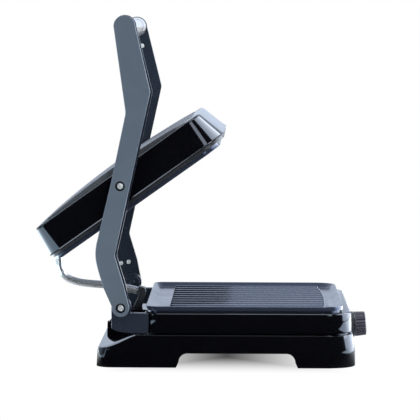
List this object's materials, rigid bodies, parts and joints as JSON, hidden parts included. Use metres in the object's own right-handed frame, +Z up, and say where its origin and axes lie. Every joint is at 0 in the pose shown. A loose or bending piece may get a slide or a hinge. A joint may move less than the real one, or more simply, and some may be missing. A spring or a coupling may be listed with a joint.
{
  "type": "electric indoor grill",
  "caption": "Electric indoor grill with ribbed plates, a floating lid on bent side arms, a bar handle and a front thermostat knob.",
  "frame": {"origin": "centre of the open grill's box on the table it stands on", "axes": "+X to the right seen from the front, -Y to the front where the knob is, +Z up"},
  "size_m": [0.343, 0.408, 0.4255],
  "materials": {
    "gloss_black_plastic": "high gloss",
    "satin_black_plastic": "satin, fine moulded grain",
    "slate_plastic": "satin, slate grey with a blue cast",
    "knob_plastic": "satin gloss, dark purple grey",
    "nonstick_plate": "dark grey non-stick coating on die-cast aluminium",
    "steel": "plated steel",
    "bright_tube": "bright polished steel tube",
    "top_sheet": "fine brushed sheet steel",
    "rubber": "matt black rubber",
    "ceramic_white": "white heat-resistant block",
    "lens_red": "clear coloured lenses, one red and one green"
  },
  "bodies": {
    "base": {"lower_housing": "gloss_black_plastic", "tray": "gloss_black_plastic", "cable_housing": "gloss_black_plastic", "bottom_cover": "satin_black_plastic", "knob_bezel": "satin_black_plastic", "thermostat": "satin_black_plastic", "hinge_bracket_left": "satin_black_plastic", "hinge_bracket_right": "satin_black_plastic", "conduit_socket": "satin_black_plastic", "lower_plate": "nonstick_plate", "cover_screws": "steel", "lower_element": "steel", "lower_reflector": "steel", "conduit_fixed": "bright_tube", "rubber_feet": "rubber", "cord_bushing": "rubber", "terminal_block": "ceramic_white", "indicator_lenses": "lens_red"},
    "knob": {"knob": "knob_plastic", "thermostat_spindle": "steel"},
    "arms": {"arm_frame_left": "satin_black_plastic", "arm_frame_right": "satin_black_plastic", "arm_cover_left": "slate_plastic", "arm_cover_right": "slate_plastic", "handle_tube": "bright_tube", "handle_plugs": "satin_black_plastic", "hinge_screws": "steel", "hinge_nuts": "steel", "frame_screws": "steel"},
    "lid": {"lid_housing": "gloss_black_plastic", "lid_top_panel": "top_sheet", "lid_skirt": "satin_black_plastic", "upper_plate": "nonstick_plate", "upper_element": "steel", "upper_reflector": "steel", "lid_journals": "steel", "journal_screws": "steel", "conduit_ball": "satin_black_plastic"},
    "conduit_loop": {"conduit_loop": "bright_tube"}
  },
  "joints": [
    {"name": "arm_hinge", "type": "hinge", "parent": "base", "child": "arms", "pos_m": [0, 0.09918, 0.0744], "axis": [1, 0, 0], "range_deg": [0, 77.32]},
    {"name": "lid_pivot", "type": "hinge", "parent": "arms", "child": "lid", "pos_m": [0, 0.09998, 0.2212], "axis": [1, 0, 0], "range_deg": [-42, 0]},
    {"name": "conduit_bend", "type": "hinge", "parent": "base", "child": "conduit_loop", "pos_m": [0, 0.14618, 0.08702], "axis": [1, 0, 0], "range_deg": [0, 120.2], "deforming": ["conduit_loop"]},
    {"name": "knob_turn", "type": "hinge", "parent": "base", "child": "knob", "pos_m": [0, -0.18334, 0.0368], "axis": [0, -0.9972, 0.075], "range_deg": [0, 270]}
  ],
  "couplings": [
    {"joint": "lid_pivot", "follows": "arm_hinge", "ratio": -0.54217},
    {"joint": "conduit_bend", "follows": "arm_hinge", "ratio": 1.5525}
  ]
}
